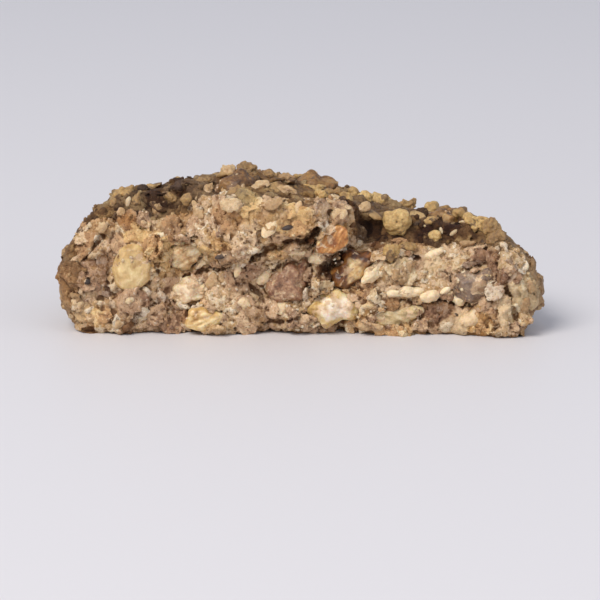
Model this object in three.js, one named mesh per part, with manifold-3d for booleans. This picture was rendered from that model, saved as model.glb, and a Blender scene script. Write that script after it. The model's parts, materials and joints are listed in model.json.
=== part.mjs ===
// One half of a thick rum raisin cookie, snapped across the middle and lying on its baked underside.
// Millimetres, +Z up. X runs along the break, and the broken face looks towards -Y.
// The baked cookie is a lathed form that is swelled into its uneven outline, then a rough sheet is
// cut away to leave the torn face. Each raisin is a solid of its own, seated in a pocket of dough.

import * as THREE from "three";
import { mergeVertices } from "three/addons/utils/BufferGeometryUtils.js";
import Module from "manifold-3d";

const wasm = await Module();
wasm.setup();

// The baked cookie.
const cookieRadius = 41; // where the rim bulges widest
const lowThickness = 19; // over the thinner right side
const crownRise = 5; // how much thicker the left side is
const hump = { x: -10, y: 6, reach: 12, rise: 1.6 }; // the high place left of the middle
const crownEnds = [0, 17]; // the x range in which the crown falls to the right side
const backFall = 3; // how far the top drops from the middle to the back shoulder
const bulgeShare = 0.42; // height of the widest ring, as a share of the thickness
const flatShare = 0.9; // radius of the flat underside, as a share of the cookie's
const shoulderShare = 0.65; // radius at which the top starts to round down
const footPower = 1.9; // 2 is a round edge, more is squarer
const shoulderPower = 1.6;
const topLumps = [
  { span: 10, rise: 1.5 },
  { span: 4.6, rise: 0.7 },
];
const rimLumps = [
  { span: 19, rise: 0.9 },
  { span: 8, rise: 1.1 },
  { span: 4.4, rise: 0.5 },
];
const poleShift = 15; // moves the middle of the lathed rings into the half that is cut away
const endReach = 9; // how far in front of the middle the outline is followed
const endDraw = 0.0034; // how fast the outline draws in there, per square millimetre

// The torn face. Its depth is y, so a lump that stands proud has a lower one.
const sheetSize = { wide: 112, deep: 40, high: 46 };
const sheetStep = 1.85; // spacing of the torn face's facets
const endLean = { start: 24, full: 37, depth: -5 }; // the break runs forward at the right end
const slab = { proud: 3.4, left: -23, right: 9, edge: 1.2 }; // the upper slab that overhangs
const slabFoot = { rightHeight: 17.4, slope: 0.33, bend: 0.011 }; // its lower edge, against x
const tornEdges = [
  { from: -40, to: -16, height: 15.5, span: 7, depth: 5.5 }, // top edge left of the slab
  { from: 7, to: 50, height: 11.5, span: 6, depth: 6.5 }, // top edge right of the slab
];
const footNotch = { place: -1, width: 9, height: 3.4, depth: 3.5 }; // missing from the lower edge
const tearLumps = [
  { span: 10, rise: 2.6 },
  { span: 4.4, rise: 2.0 },
  { span: 2.2, rise: 1.1 },
];

// The raisins. Sizes are length, width and thickness; turn is about the line of sight into the
// face that holds the raisin, in degrees, and proud is how far it stands out of that face. A raisin
// whose skin isn't stated is golden.
const pocketGap = 0.3;
const raisinDetail = 2;
const raisinRidges = 5;
const ridgeDepth = 0.06;
const raisinTaper = 0.16;
const skinColours = { golden: 0xb98d4e, amber: 0x7d5230, mauve: 0x8c6f5c };
const tornRaisins = [
  { name: "raisin_break_left", x: -28.6, z: 11.5, size: [8.4, 6.6, 6.2], turn: 78, proud: 1.5 },
  { name: "raisin_break_cheek", x: -20, z: 13.6, size: [7.6, 5.8, 5.4], turn: 18, proud: 1.8 },
  { name: "raisin_break_cream", x: -18.8, z: 7.1, size: [6.2, 4.6, 4.6], turn: 12, proud: 1.3 },
  { name: "raisin_break_foot", x: -16.6, z: 2.6, size: [7.6, 4.0, 4.2], turn: 6, proud: 1.2 },
  { name: "raisin_break_mauve", x: -2.1, z: 9.2, size: [8.4, 6.6, 6.0], turn: 40, proud: 1.8, skin: "mauve" },
  { name: "raisin_break_split", x: 5.8, z: 4.6, size: [10, 5.8, 6.0], turn: 4, proud: 1.6 },
  { name: "raisin_break_amber", x: 8.4, z: 11.4, size: [9, 5.0, 5.0], turn: 32, proud: 1.5, skin: "amber" },
  { name: "raisin_break_ledge", x: 5.2, z: 16.9, size: [6.6, 4.4, 4.6], turn: 28, proud: 1.3, skin: "amber" },
  { name: "raisin_break_long", x: 15.8, z: 3.3, size: [10.2, 3.8, 4.4], turn: 9, proud: 1.6 },
  { name: "raisin_break_grey", x: 29.6, z: 8.6, size: [8.4, 5.8, 5.6], turn: 20, proud: 1.4, skin: "mauve" },
];
const topRaisins = [
  { name: "raisin_top_front", x: 2.2, y: 15, size: [8.6, 6.4, 5.4], turn: 10, proud: 1.6 },
  { name: "raisin_top_left", x: -10.5, y: 5, size: [8.2, 6.0, 5.2], turn: 35, proud: 1.3, skin: "amber" },
  { name: "raisin_top_right", x: 25.5, y: 12, size: [8.4, 6.0, 5.2], turn: 25, proud: 1.5 },
  { name: "raisin_top_back", x: -8.5, y: 26.5, size: [9.2, 6.4, 5.6], turn: -50, proud: 1.8 },
];
const rimRaisins = [
  { name: "raisin_rim_right", around: 8, height: 7.0, size: [9.2, 5.0, 4.6], turn: 80, proud: 0.4 },
  { name: "raisin_rim_1", around: 42, height: 8.2, size: [9.2, 6.6, 5.6], turn: 15, proud: 1.5 },
  { name: "raisin_rim_2", around: 77, height: 9.5, size: [8.4, 6.0, 5.4], turn: -35, proud: 1.5 },
  { name: "raisin_rim_3", around: 112, height: 6.8, size: [9.4, 6.4, 5.6], turn: 5, proud: 1.4 },
  { name: "raisin_rim_4", around: 150, height: 11.2, size: [8.8, 6.2, 5.2], turn: 55, proud: 1.5, skin: "amber" },
];

const sliverSize = 0.04; // the cuts' slivers thinner than this are merged away

const doughColour = 0xa58468;

const { smoothstep, degToRad, lerp } = THREE.MathUtils;

const latticeTurn = new THREE.Euler(0.9, 0.6, 0.4);

// A repeatable number from -1 to 1 for each whole-number point of a lattice.
function latticeValue(i, j, k) {
  let h = Math.imul(i, 374761393) ^ Math.imul(j, 668265263) ^ Math.imul(k, 2147483647);
  h = Math.imul(h ^ (h >>> 13), 1274126177);
  h ^= h >>> 16;
  return ((h >>> 0) / 0xffffffff) * 2 - 1;
}

// Smooth noise from -1 to 1, whose swells are about span apart.
function swell(x, y, z, span) {
  const place = [x / span, y / span, z / span];
  const cell = place.map(Math.floor);
  const [u, v, w] = place.map((p, n) => smoothstep(p - cell[n], 0, 1));
  const [i, j, k] = cell;
  const alongX = (dj, dk) =>
    lerp(latticeValue(i, j + dj, k + dk), latticeValue(i + 1, j + dj, k + dk), u);
  const alongY = (dk) => lerp(alongX(0, dk), alongX(1, dk), v);
  return lerp(alongY(0), alongY(1), w);
}

// Sums the lumps, each kind with its lattice turned another way, so that no grain shows.
function lumpiness(lumps, x, y, z) {
  const p = new THREE.Vector3(x, y, z);
  return lumps.reduce((sum, { span, rise }) => {
    p.applyEuler(latticeTurn);
    return sum + rise * swell(p.x, p.y, p.z, span);
  }, 0);
}

// ---- baked cookie ----

// Half of the cookie's section as a unit profile: radius and height both run from 0 to 1.
function sectionProfile() {
  const underRings = 2;
  const lowerSteps = 5;
  const upperSteps = 7;
  const topRings = 6;
  const points = [];
  for (let n = 0; n < underRings; n++) {
    points.push(new THREE.Vector2((flatShare * n) / underRings, 0));
  }
  for (let n = 0; n < lowerSteps; n++) {
    const a = (n / lowerSteps) * (Math.PI / 2);
    const out = Math.sin(a) ** (2 / footPower);
    const down = Math.cos(a) ** (2 / footPower);
    points.push(new THREE.Vector2(lerp(flatShare, 1, out), bulgeShare * (1 - down)));
  }
  for (let n = 0; n < upperSteps; n++) {
    const a = (n / upperSteps) * (Math.PI / 2);
    const up = Math.sin(a) ** (2 / shoulderPower);
    const out = Math.cos(a) ** (2 / shoulderPower);
    points.push(new THREE.Vector2(lerp(shoulderShare, 1, out), lerp(bulgeShare, 1, up)));
  }
  for (let n = topRings; n >= 0; n--) {
    points.push(new THREE.Vector2((shoulderShare * n) / topRings, 1));
  }
  return points;
}

function thicknessAt(x, y) {
  const crown = crownRise * (1 - smoothstep(x, ...crownEnds));
  const swelling = hump.rise * Math.exp(-((x - hump.x) ** 2 + (y - hump.y) ** 2) / hump.reach ** 2);
  const fall = backFall * (y / (shoulderShare * cookieRadius)) ** 2;
  return lowThickness + crown + swelling - fall;
}

// Moves one point of the unit form to its place in the baked cookie.
function swellPoint(p) {
  const reach = Math.hypot(p.x, p.y);
  const noise = lumpiness(rimLumps, p.x * cookieRadius, p.y * cookieRadius, p.z * lowThickness);
  const spread = cookieRadius + reach * noise;
  const inner = p.z === 0 ? flatShare : shoulderShare;
  let x = p.x * spread;
  const y = p.y * spread - poleShift * Math.max(1 - (reach / inner) ** 2, 0);
  x *= 1 - endDraw * THREE.MathUtils.clamp(-y, 0, endReach) ** 2;
  const lumps = lumpiness(topLumps, x, y, 0) * smoothstep(p.z, bulgeShare, 1);
  return p.set(x, y, p.z * thicknessAt(x, y) + lumps);
}

function bakedCookie() {
  const aroundSteps = 60;
  const form = new THREE.LatheGeometry(sectionProfile(), aroundSteps).rotateX(Math.PI / 2);
  return movePoints(form, swellPoint);
}

// ---- torn face ----

// Height of the slab's lower edge at x: it climbs to the right.
function slabFootAt(x) {
  const back = slab.right - x;
  return slabFoot.rightHeight - slabFoot.slope * back + slabFoot.bend * back * Math.max(back - 12, 0);
}

// The y at which the dough is torn off, at x along the break and height z.
function tearDepth(x, z) {
  let y = endLean.depth * smoothstep(x, endLean.start, endLean.full);
  const aboveFoot = smoothstep(z - slabFootAt(x), -slab.edge, slab.edge);
  const withinSlab =
    smoothstep(x, slab.left, slab.left + 14) * (1 - smoothstep(x, slab.right - 2, slab.right + 1));
  y -= slab.proud * aboveFoot * withinSlab;
  for (const { from, to, height, span, depth } of tornEdges) {
    const within = smoothstep(x, from, from + 4) * (1 - smoothstep(x, to - 4, to));
    y += depth * within * smoothstep(z, height, height + span);
  }
  const notch = Math.exp(-(((x - footNotch.place) / footNotch.width) ** 2));
  y += footNotch.depth * notch * (1 - smoothstep(z, 0, footNotch.height));
  return y + lumpiness(tearLumps, x, 0, z);
}

// The block of air in front of the break, whose back is the torn face.
function airBlock() {
  const { wide, deep, high } = sheetSize;
  const columns = Math.round(wide / sheetStep);
  const rows = Math.round(high / sheetStep);
  const block = new THREE.BoxGeometry(wide, deep, high, columns, 1, rows);
  return movePoints(block, (p) => {
    const z = p.z + high / 2 - sheetStep * 4.5;
    return p.set(p.x, p.y > 0 ? tearDepth(p.x, z) : -deep, z);
  });
}

// ---- raisins ----

// A raisin along X: a tapered egg with shallow lengthwise ridges, grown by grow all round.
function raisinForm([length, width, thickness], grow) {
  const egg = new THREE.IcosahedronGeometry(1, raisinDetail);
  return movePoints(egg, (p) => {
    const ridge = 1 + ridgeDepth * Math.cos(raisinRidges * Math.atan2(p.z, p.y)) * (1 - p.x ** 2);
    const taper = 1 - raisinTaper * p.x;
    return p.set(
      p.x * (length / 2 + grow),
      p.y * ridge * taper * (width / 2 + grow),
      p.z * ridge * taper * (thickness / 2 + grow),
    );
  });
}

// Where a raisin lies: at point, with its thickness along the outward normal.
function seat(point, outward, { size, turn, proud }) {
  const facing = new THREE.Quaternion().setFromUnitVectors(new THREE.Vector3(0, 0, 1), outward);
  const turned = new THREE.Quaternion().setFromAxisAngle(outward, degToRad(turn));
  const sunk = proud - size[2] / 2;
  return new THREE.Matrix4().compose(
    point.clone().addScaledVector(outward, sunk),
    turned.multiply(facing),
    new THREE.Vector3(1, 1, 1),
  );
}

function seatInBreak(raisin) {
  const point = new THREE.Vector3(raisin.x, tearDepth(raisin.x, raisin.z), raisin.z);
  return seat(point, new THREE.Vector3(0, -1, 0), raisin);
}

function seatOnTop(raisin) {
  const { x, y } = raisin;
  const height = thicknessAt(x, y) + lumpiness(topLumps, x, y, 0);
  return seat(new THREE.Vector3(x, y, height), new THREE.Vector3(0, 0, 1), raisin);
}

function seatInRim(raisin) {
  const a = degToRad(raisin.around);
  const outward = new THREE.Vector3(Math.cos(a), Math.sin(a), 0);
  const point = outward.clone().multiplyScalar(cookieRadius).setZ(raisin.height);
  return seat(point, outward, raisin);
}

// ---- solids ----

// Merges a geometry's shared vertices, then puts every vertex where move says.
function movePoints(geometry, move) {
  geometry.deleteAttribute("normal");
  geometry.deleteAttribute("uv");
  const merged = mergeVertices(geometry, 1e-4);
  const position = merged.getAttribute("position");
  const p = new THREE.Vector3();
  for (let n = 0; n < position.count; n++) {
    move(p.fromBufferAttribute(position, n));
    position.setXYZ(n, p.x, p.y, p.z);
  }
  return merged;
}

function toSolid(geometry) {
  return new wasm.Manifold(
    new wasm.Mesh({
      numProp: 3,
      vertProperties: geometry.getAttribute("position").array,
      triVerts: new Uint32Array(geometry.index.array),
    }),
  );
}

function toGeometry(solid) {
  const { vertProperties, triVerts } = solid.getMesh();
  const geometry = new THREE.BufferGeometry();
  geometry.setAttribute("position", new THREE.BufferAttribute(vertProperties, 3));
  geometry.setIndex(new THREE.BufferAttribute(triVerts, 1));
  geometry.computeVertexNormals();
  return geometry;
}

// The cuts can leave loose chips: only the largest piece is the cookie.
function largestPiece(solid) {
  return solid.decompose().reduce((a, b) => (a.volume() > b.volume() ? a : b));
}

function namedMesh(name, geometry, material) {
  const mesh = new THREE.Mesh(geometry, material);
  mesh.name = name;
  return mesh;
}

function plainMaterial(color, roughness) {
  return new THREE.MeshStandardMaterial({ color, roughness, metalness: 0 });
}

const doughMaterial = plainMaterial(doughColour, 0.85);
const skinMaterials = Object.fromEntries(
  Object.entries(skinColours).map(([skin, colour]) => [skin, plainMaterial(colour, 0.45)]),
);

const seated = [
  ...tornRaisins.map((raisin) => ({ raisin, place: seatInBreak(raisin) })),
  ...topRaisins.map((raisin) => ({ raisin, place: seatOnTop(raisin) })),
  ...rimRaisins.map((raisin) => ({ raisin, place: seatInRim(raisin) })),
];

let dough = toSolid(bakedCookie()).subtract(toSolid(airBlock()));
for (const { raisin, place } of seated) {
  dough = dough.subtract(toSolid(raisinForm(raisin.size, pocketGap).applyMatrix4(place)));
}

const cookieHalf = new THREE.Group();
const wholeDough = largestPiece(dough).simplify(sliverSize);
cookieHalf.add(namedMesh("dough", toGeometry(wholeDough), doughMaterial));
for (const { raisin, place } of seated) {
  const skin = skinMaterials[raisin.skin ?? "golden"];
  const mesh = namedMesh(raisin.name, raisinForm(raisin.size, 0), skin);
  mesh.applyMatrix4(place);
  cookieHalf.add(mesh);
}

// The origin is under the middle of the half's outline, on the surface that it lies on.
const outline = new THREE.Box3().setFromObject(cookieHalf, true);
const middle = outline.getCenter(new THREE.Vector3());
cookieHalf.position.set(-middle.x, -middle.y, -outline.min.z);

export default cookieHalf;
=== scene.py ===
import json
import math

import bpy
from mathutils import Matrix, Quaternion, Vector, noise

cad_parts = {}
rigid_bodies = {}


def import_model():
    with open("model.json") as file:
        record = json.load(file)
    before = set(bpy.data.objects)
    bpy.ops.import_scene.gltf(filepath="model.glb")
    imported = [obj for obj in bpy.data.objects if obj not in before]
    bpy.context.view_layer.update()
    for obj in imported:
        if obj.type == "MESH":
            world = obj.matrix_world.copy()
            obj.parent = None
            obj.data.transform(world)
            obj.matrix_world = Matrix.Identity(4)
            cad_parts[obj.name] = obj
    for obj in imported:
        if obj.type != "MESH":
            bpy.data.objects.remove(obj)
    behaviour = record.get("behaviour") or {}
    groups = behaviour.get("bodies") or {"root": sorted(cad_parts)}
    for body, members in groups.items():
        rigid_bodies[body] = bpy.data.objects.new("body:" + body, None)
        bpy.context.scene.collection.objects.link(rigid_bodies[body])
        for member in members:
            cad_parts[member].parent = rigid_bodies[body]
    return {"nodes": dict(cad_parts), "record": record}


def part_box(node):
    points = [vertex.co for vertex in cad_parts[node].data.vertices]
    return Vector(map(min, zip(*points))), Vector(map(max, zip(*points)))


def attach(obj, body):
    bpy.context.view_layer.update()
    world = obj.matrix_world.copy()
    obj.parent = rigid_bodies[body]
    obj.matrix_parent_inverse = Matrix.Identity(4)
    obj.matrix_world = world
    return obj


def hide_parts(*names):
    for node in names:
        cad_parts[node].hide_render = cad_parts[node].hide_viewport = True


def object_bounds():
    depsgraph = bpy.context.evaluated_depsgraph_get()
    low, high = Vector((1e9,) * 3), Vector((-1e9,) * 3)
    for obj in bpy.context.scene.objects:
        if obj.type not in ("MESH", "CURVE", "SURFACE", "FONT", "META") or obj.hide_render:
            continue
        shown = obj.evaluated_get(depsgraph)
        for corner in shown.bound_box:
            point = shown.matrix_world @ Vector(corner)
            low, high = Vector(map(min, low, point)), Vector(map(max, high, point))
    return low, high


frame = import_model()
cadLow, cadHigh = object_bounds()
mm = 0.001

# Half of a rum raisin cookie, lying on its baked underside with the broken face towards -Y.
# The dough and every raisin of the frame are replaced by finer pieces at the same places.

scene = bpy.context.scene
scene.view_settings.view_transform = "Standard"
scene.view_settings.look = "None"


# everyday helpers

def deselectAll():
    if bpy.context.object and bpy.context.object.mode != "OBJECT":
        bpy.ops.object.mode_set(mode="OBJECT")
    bpy.ops.object.select_all(action="DESELECT")


def activate(obj):
    deselectAll()
    obj.select_set(True)
    bpy.context.view_layer.objects.active = obj


def applyAll(obj):
    activate(obj)
    for modifier in list(obj.modifiers):
        bpy.ops.object.modifier_apply(modifier=modifier.name)


def tidyMesh(obj, gap=0.01 * mm):
    activate(obj)
    bpy.ops.object.mode_set(mode="EDIT")
    bpy.ops.mesh.select_all(action="SELECT")
    bpy.ops.mesh.remove_doubles(threshold=gap)
    bpy.ops.mesh.normals_make_consistent(inside=False)
    bpy.ops.object.mode_set(mode="OBJECT")


def copyOfNode(node, name):  # a free copy of a frame node, its loose triangles merged
    source = frame["nodes"][node]
    obj = bpy.data.objects.new(name, source.data.copy())
    scene.collection.objects.link(obj)
    obj.data.materials.clear()
    tidyMesh(obj)
    return obj


def copyOf(obj):
    twin = obj.copy()
    twin.data = obj.data.copy()
    scene.collection.objects.link(twin)
    return twin


def joinCopies(name, parts):  # joins the objects into one and names it
    deselectAll()
    for part in parts:
        part.select_set(True)
    bpy.context.view_layer.objects.active = parts[0]
    bpy.ops.object.join()
    parts[0].name = name
    return parts[0]


def pointsOf(obj):
    return [v.co.copy() for v in obj.data.vertices]


def normalsOf(obj):  # as they are before any point is moved
    return [v.normal.copy() for v in obj.data.vertices]


def smoothStep(value, low, high):
    t = min(max((value - low) / (high - low), 0), 1)
    return t * t * (3 - 2 * t)


def relief(obj, kind, span, height, group="", middle=0.5, **settings):
    # pushes the surface in and out by a procedural texture of the given grain
    texture = bpy.data.textures.new(f"{obj.name}Relief", kind)
    texture.noise_scale = span
    for key, value in settings.items():
        setattr(texture, key, value)
    displace = obj.modifiers.new("relief", "DISPLACE")
    displace.texture = texture
    displace.texture_coords = "LOCAL"
    displace.strength = height
    displace.mid_level = middle
    displace.vertex_group = group
    return displace


def remeshAt(obj, step):
    remesh = obj.modifiers.new("evenFaces", "REMESH")
    remesh.mode = "VOXEL"
    remesh.voxel_size = step
    remesh.use_smooth_shade = True


def finishPiece(obj, material, slotName, *nodes):
    obj.data.materials.clear()
    obj.data.materials.append(material)
    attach(obj, "root")
    if nodes:
        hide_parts(*nodes)


# camera, light and table

view = {
    "elevation": 13,
    "distance": 550 * mm,
    "lens": 196,
    "sensor": 36,
    "aim": (-0.3 * mm, cadLow.y + 4 * mm, 6.2 * mm),
    "nearest": 0.01,
    "furthest": 20,
}


def addCamera():
    camera = bpy.data.objects.new("camera", bpy.data.cameras.new("camera"))
    scene.collection.objects.link(camera)
    lift = math.radians(view["elevation"])
    back = Vector((0, -math.cos(lift), math.sin(lift)))
    camera.location = Vector(view["aim"]) + back * view["distance"]
    camera.rotation_euler = (-back).to_track_quat("-Z", "Y").to_euler()
    camera.data.lens = view["lens"]
    camera.data.sensor_width = view["sensor"]
    camera.data.clip_start = view["nearest"]
    camera.data.clip_end = view["furthest"]
    scene.camera = camera


lights = {
    "windowLight": {"place": (-0.62, -0.78, 1.1), "size": 0.85, "power": 18.0, "colour": (1.0, 0.97, 0.93)},
    "fillLight": {"place": (0.6, -0.5, 0.35), "size": 0.7, "power": 0.8, "colour": (0.92, 0.95, 1.0)},
}
sky = {"colour": (0.80, 0.86, 1.0), "strength": 0.6}
litPoint = Vector((0, 0, 10 * mm))  # both lamps point here


def addLights():
    for name, values in lights.items():
        lamp = bpy.data.objects.new(name, bpy.data.lights.new(name, "AREA"))
        scene.collection.objects.link(lamp)
        lamp.data.shape = "DISK"
        lamp.data.size = values["size"]
        lamp.data.energy = values["power"]
        lamp.data.color = values["colour"]
        lamp.location = values["place"]
        lamp.rotation_euler = (litPoint - lamp.location).to_track_quat("-Z", "Y").to_euler()
    world = bpy.data.worlds.new("softRoom")
    scene.world = world
    world.use_nodes = True
    background = world.node_tree.nodes["Background"]
    background.inputs["Color"].default_value = (*sky["colour"], 1)
    background.inputs["Strength"].default_value = sky["strength"]


table = {"size": 4.0, "colour": (0.69, 0.66, 0.66), "roughness": 0.55}


def addTable():
    bpy.ops.mesh.primitive_plane_add(size=table["size"], location=(0, 0, 0))
    floor = bpy.context.object
    floor.name = "table"
    material = bpy.data.materials.new("paleTable")
    material.use_nodes = True
    shader = material.node_tree.nodes["Principled BSDF"]
    shader.inputs["Base Color"].default_value = (*table["colour"], 1)
    shader.inputs["Roughness"].default_value = table["roughness"]
    floor.data.materials.append(material)


addCamera()
addLights()
deselectAll()
addTable()
print("camera, lights and table are set")


# colours and shader building blocks

def hexColour(code):  # "c8a070" to the linear colour that Blender works in
    parts = [int(code[n:n + 2], 16) / 255 for n in (0, 2, 4)]
    return [p / 12.92 if p <= 0.04045 else ((p + 0.055) / 1.055) ** 2.4 for p in parts] + [1.0]


def connect(tree, value, socket):  # a number, colour or vector is set, a socket is linked
    if isinstance(value, bpy.types.NodeSocket):
        tree.links.new(value, socket)
    else:
        socket.default_value = value


def placeOf(tree):
    return tree.nodes.new("ShaderNodeTexCoord").outputs["Object"]


def noiseAt(tree, place, span, detail=3.0, rough=0.55, warp=0.0):
    node = tree.nodes.new("ShaderNodeTexNoise")
    node.inputs["Scale"].default_value = 1 / span
    node.inputs["Detail"].default_value = detail
    node.inputs["Roughness"].default_value = rough
    node.inputs["Distortion"].default_value = warp
    tree.links.new(place, node.inputs["Vector"])
    return node.outputs["Fac"]


def cellsAt(tree, place, span, feature="F1"):
    node = tree.nodes.new("ShaderNodeTexVoronoi")
    node.feature = feature
    node.inputs["Scale"].default_value = 1 / span
    tree.links.new(place, node.inputs["Vector"])
    return node


def marked(tree, name):
    node = tree.nodes.new("ShaderNodeAttribute")
    node.attribute_name = name
    return node.outputs["Fac"]


def calc(tree, operation, a, b, clamp=False):
    node = tree.nodes.new("ShaderNodeMath")
    node.operation = operation
    node.use_clamp = clamp
    connect(tree, a, node.inputs[0])
    connect(tree, b, node.inputs[1])
    return node.outputs[0]


def times(tree, a, b, clamp=False):
    return calc(tree, "MULTIPLY", a, b, clamp)


def plus(tree, a, b):
    return calc(tree, "ADD", a, b)


def weighted(tree, a, shareOfA, b, shareOfB):
    return plus(tree, times(tree, a, shareOfA), times(tree, b, shareOfB))


def swing(tree, value, reach):  # a value from 0 to 1, made to swing either side of none
    return times(tree, calc(tree, "SUBTRACT", value, 0.5), reach)


def between(tree, value, low, high, toLow=0.0, toHigh=1.0):
    node = tree.nodes.new("ShaderNodeMapRange")
    node.interpolation_type = "SMOOTHSTEP"
    connect(tree, value, node.inputs["Value"])
    node.inputs["From Min"].default_value = low
    node.inputs["From Max"].default_value = high
    node.inputs["To Min"].default_value = toLow
    node.inputs["To Max"].default_value = toHigh
    return node.outputs["Result"]


def rampOf(tree, value, stops):  # stops are pairs of place and colour code
    node = tree.nodes.new("ShaderNodeValToRGB")
    ramp = node.color_ramp
    while len(ramp.elements) < len(stops):
        ramp.elements.new(0.5)
    for element, (place, code) in zip(ramp.elements, stops):
        element.position = place
        element.color = hexColour(code)
    tree.links.new(value, node.inputs["Fac"])
    return node.outputs["Color"]


def blend(tree, share, a, b, mode="MIX"):
    node = tree.nodes.new("ShaderNodeMix")
    node.data_type = "RGBA"
    node.blend_type = mode
    connect(tree, share, node.inputs["Factor"])
    connect(tree, a, node.inputs[6])
    connect(tree, b, node.inputs[7])
    return node.outputs[2]


def tinted(tree, share, colour, tint):
    return blend(tree, share, colour, blend(tree, 1.0, colour, tint, "MULTIPLY"))


socketKinds = {"value": "NodeSocketFloat", "colour": "NodeSocketColor", "vector": "NodeSocketVector"}


def newGroup(name, inputs, outputs):
    tree = bpy.data.node_groups.new(name, "ShaderNodeTree")
    for side, sockets in (("INPUT", inputs), ("OUTPUT", outputs)):
        for label, kind in sockets.items():
            tree.interface.new_socket(label, in_out=side, socket_type=socketKinds[kind])
    return tree, tree.nodes.new("NodeGroupInput").outputs, tree.nodes.new("NodeGroupOutput").inputs


def groupNode(tree, group, **values):
    node = tree.nodes.new("ShaderNodeGroup")
    node.node_tree = group
    for label, value in values.items():
        connect(tree, value, node.inputs[label])
    return node.outputs


blotches = {"Broad": (7 * mm, 0.6), "Middle": (1.9 * mm, 0.4), "Fine": (0.45 * mm, 0.2)}  # span and warp
grainCell = 0.9 * mm


def buildMottle():  # blotches of three sizes, and grains with a tone of their own
    tree, given, wanted = newGroup("mottle", {"Place": "vector"},
                                   {"Broad": "value", "Middle": "value", "Fine": "value", "Grains": "value"})
    for label, (span, warp) in blotches.items():
        tree.links.new(noiseAt(tree, given["Place"], span, 3, 0.6, warp), wanted[label])
    sway = tree.nodes.new("ShaderNodeTexNoise")
    sway.inputs["Scale"].default_value = 1 / grainCell
    tree.links.new(given["Place"], sway.inputs["Vector"])
    bent = tree.nodes.new("ShaderNodeVectorMath")
    bent.operation = "MULTIPLY_ADD"
    bent.inputs[1].default_value = (grainCell,) * 3
    tree.links.new(sway.outputs["Color"], bent.inputs[0])
    tree.links.new(given["Place"], bent.inputs[2])
    grains = cellsAt(tree, bent.outputs["Vector"], grainCell)
    tone = tree.nodes.new("ShaderNodeSeparateColor")
    tree.links.new(grains.outputs["Color"], tone.inputs[0])
    tree.links.new(tone.outputs[0], wanted["Grains"])
    return tree


creviceShadeBand = {"from": 0.48, "to": 0.10}  # the "hollow" mark at which the painted shade starts and is full


def buildCreviceShade():  # paints shade into a colour in the hollows, darker the deeper they are
    tree, given, wanted = newGroup(
        "hollowShade", {"Colour": "colour", "Hollow": "value", "Dark": "colour", "Depth": "value"},
        {"Colour": "colour"})
    deep = between(tree, given["Hollow"], creviceShadeBand["from"], creviceShadeBand["to"])
    share = times(tree, deep, given["Depth"], clamp=True)
    tree.links.new(tinted(tree, share, given["Colour"], given["Dark"]), wanted["Colour"])
    return tree


grainLook = {"span": 0.6 * mm, "pores": 0.4 * mm, "poreShare": 0.35, "height": 0.4 * mm}


def buildGrain():  # fine baked roughness as a normal
    tree, given, wanted = newGroup("grain", {"Place": "vector", "Height": "value"}, {"Normal": "vector"})
    coarse = noiseAt(tree, given["Place"], grainLook["span"], 5, 0.75, 0.3)
    pores = cellsAt(tree, given["Place"], grainLook["pores"]).outputs["Distance"]
    both = plus(tree, coarse, times(tree, pores, grainLook["poreShare"]))
    bump = tree.nodes.new("ShaderNodeBump")
    bump.inputs["Strength"].default_value = 1.0
    bump.inputs["Distance"].default_value = grainLook["height"]
    tree.links.new(times(tree, both, given["Height"]), bump.inputs["Height"])
    tree.links.new(bump.outputs["Normal"], wanted["Normal"])
    return tree


clinging = {"sway": 1.5, "from": 0.5, "to": 0.85, "most": 0.85, "never": 0.15}


def buildDoughEdge():  # where a piece goes into the dough, dough sticks to it in blotches
    tree, given, wanted = newGroup(
        "doughEdge", {"Colour": "colour", "Edge": "value", "Fine": "value", "Grains": "value",
                      "Low": "colour", "High": "colour"}, {"Colour": "colour"})
    stuck = blend(tree, given["Grains"], given["Low"], given["High"])
    swayed = plus(tree, given["Edge"], swing(tree, given["Fine"], clinging["sway"]))
    share = between(tree, swayed, clinging["from"], clinging["to"], 0.0, clinging["most"])
    share = times(tree, share, between(tree, given["Edge"], 0.0, clinging["never"]))
    tree.links.new(blend(tree, share, given["Colour"], stuck), wanted["Colour"])
    return tree


mottleGroup = buildMottle()
creviceShadeGroup = buildCreviceShade()
edgeGroup = buildDoughEdge()
grainGroup = buildGrain()


def newMaterial(name, **fixed):  # fixed are the shader's own constant sockets
    material = bpy.data.materials.new(name)
    material.use_nodes = True
    tree = material.node_tree
    shader = tree.nodes["Principled BSDF"]
    for label, value in fixed.items():
        shader.inputs[label.replace("_", " ")].default_value = value
    return material, tree, shader


def dressShader(tree, shader, colour, rough, grainHeight):
    connect(tree, colour, shader.inputs["Base Color"])
    connect(tree, rough, shader.inputs["Roughness"])
    grain = groupNode(tree, grainGroup, Place=placeOf(tree), Height=grainHeight)
    tree.links.new(grain["Normal"], shader.inputs["Normal"])


# the finishes

doughTones = {
    "crumb": [(0.0, "745844"), (0.1, "96765f"), (0.22, "ba9674"), (0.36, "dab58e"), (0.48, "e4c49d"),
              (0.6, "bf9764"), (0.7, "e8cda5"), (0.82, "f5e5ca"), (0.92, "c99e74"), (1.0, "a27e5a")],
    "crust": [(0.0, "3a291b"), (0.25, "664d36"), (0.5, "886a49"), (0.75, "a6885e"), (1.0, "ccb286")],
    "side": [(0.0, "6e5239"), (0.3, "9e7b58"), (0.6, "c29c70"), (0.8, "d8b68a"), (1.0, "ecd2ab")],
    "under": [(0.0, "7c5838"), (0.5, "ab8052"), (1.0, "cfaa76")],
    # the colour of the painted shade in the hollows of the dough
    "hollow": "846b54",
    # the colour of the painted shade of tiny pores, in dark specks
    "pore": "ad9782",
    "fleck": "fbeed6",
    "flesh": "f0d6a6",
    "crumbEdge": ("a8845f", "e2c39b"),
    "crustEdge": ("4a3422", "8c6c48"),
}
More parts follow.
